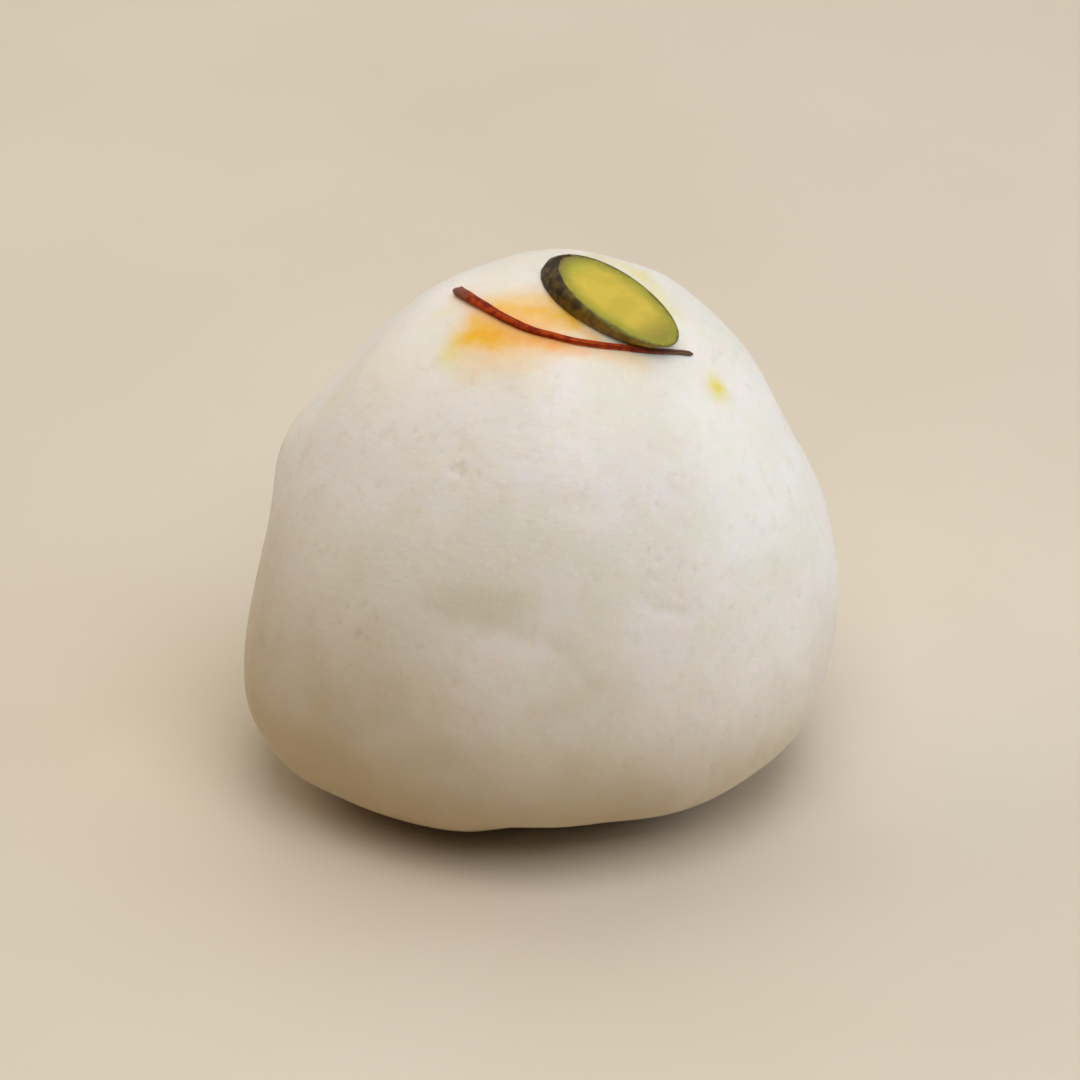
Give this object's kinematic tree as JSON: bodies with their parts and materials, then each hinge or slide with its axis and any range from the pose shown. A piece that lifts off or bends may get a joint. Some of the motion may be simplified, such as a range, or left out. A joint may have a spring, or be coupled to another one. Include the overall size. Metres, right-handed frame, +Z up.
{
  "type": "rasgulla",
  "caption": "Soft round sweet of kneaded fresh cheese, resting on a small flat spot, with a slice of pistachio kernel and a saffron strand on top.",
  "frame": {"origin": "on the flat spot that the ball rests on, straight below the middle of the ball", "axes": "+Z up, -Y towards the side seen in the picture, +X to the right in that view"},
  "size_m": [0.0457, 0.0435, 0.0437],
  "materials": {
    "fresh_cheese": "moist satin",
    "pistachio_kernel": "satin",
    "saffron": "matt"
  },
  "bodies": {
    "root": {"cheese_ball": "fresh_cheese", "pistachio_slice": "pistachio_kernel", "saffron_strand": "saffron"}
  },
  "joints": []
}
